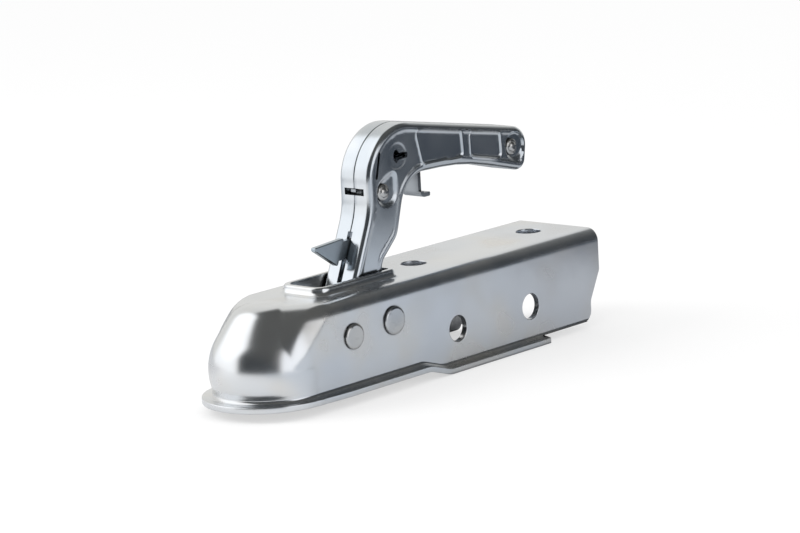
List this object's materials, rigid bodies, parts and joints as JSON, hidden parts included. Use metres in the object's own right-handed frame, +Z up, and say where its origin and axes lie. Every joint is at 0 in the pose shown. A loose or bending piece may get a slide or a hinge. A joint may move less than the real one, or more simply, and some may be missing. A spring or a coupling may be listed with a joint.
{
  "type": "trailer coupling head",
  "caption": "Pressed steel trailer coupling head with a ball dome, a drawbar channel with bolt holes and a lever handle with safety trigger that opens the ball clamp.",
  "frame": {"origin": "centre of the coupling ball in the closed socket", "axes": "+X rearwards along the drawbar, +Y to the right when facing the towing vehicle, +Z up"},
  "size_m": [0.252, 0.068, 0.123],
  "materials": {
    "zinc_housing": "bright zinc plate, satin",
    "zinc_handle": "bright zinc plate",
    "zinc_rivet": "zinc plate, peened",
    "zinc_inner": "zinc plate, turned",
    "zinc_trigger": "zinc plate",
    "zinc_indicator": "zinc plate",
    "cast_clamp": "cast, zinc plated",
    "spring_steel": "drawn wire"
  },
  "bodies": {
    "housing": {"housing": "zinc_housing", "clamp_rivet": "zinc_rivet", "handle_rivet": "zinc_rivet", "pivot_sleeve": "zinc_inner", "handle_spacer_left": "zinc_inner", "handle_spacer_right": "zinc_inner", "clamp_spacer_left": "zinc_inner", "clamp_spacer_right": "zinc_inner", "clamp_spring": "spring_steel"},
    "handle": {"handle_left": "zinc_handle", "handle_right": "zinc_handle", "elbow_rivet": "zinc_rivet", "elbow_sleeve": "zinc_inner", "grip_rivet": "zinc_rivet", "grip_sleeve": "zinc_inner", "trigger_spring": "spring_steel", "link_rivet": "zinc_inner"},
    "clamp": {"ball_clamp": "cast_clamp", "clamp_pin": "zinc_inner"},
    "link": {"pull_link": "zinc_inner"},
    "trigger": {"trigger": "zinc_trigger"},
    "indicator": {"indicator": "zinc_indicator"}
  },
  "joints": [
    {"name": "handle_swing", "type": "hinge", "parent": "housing", "child": "handle", "pos_m": [0.0596, 0, 0.014], "axis": [0, -1, 0], "range_deg": [0, 24], "stiffness_Nm_per_rad": 1, "springref_deg": -28.65},
    {"name": "clamp_swing", "type": "hinge", "parent": "housing", "child": "clamp", "pos_m": [0.0305, 0, 0.012], "axis": [0, -1, 0], "range_deg": [0, 20.2], "deforming": ["clamp_spring"]},
    {"name": "link_swing", "type": "hinge", "parent": "handle", "child": "link", "pos_m": [0.0596, 0, 0.0005], "axis": [0, -1, 0], "range_deg": [-28.3, 0]},
    {"name": "trigger_pull", "type": "hinge", "parent": "handle", "child": "trigger", "pos_m": [0.0782, 0, 0.0719], "axis": [0, -1, 0], "range_deg": [0, 6.1], "stiffness_Nm_per_rad": 0.2, "springref_deg": -5.73, "deforming": ["trigger_spring"]},
    {"name": "indicator_slide", "type": "slide", "parent": "handle", "child": "indicator", "axis": [0.4043, 0, 0.9146], "range_m": [0, 0.003]}
  ],
  "couplings": [
    {"joint": "clamp_swing", "follows": "handle_swing", "ratio": 0.8382},
    {"joint": "link_swing", "follows": "handle_swing", "ratio": -1.1752},
    {"joint": "trigger_pull", "follows": "handle_swing", "ratio": 0.25}
  ]
}
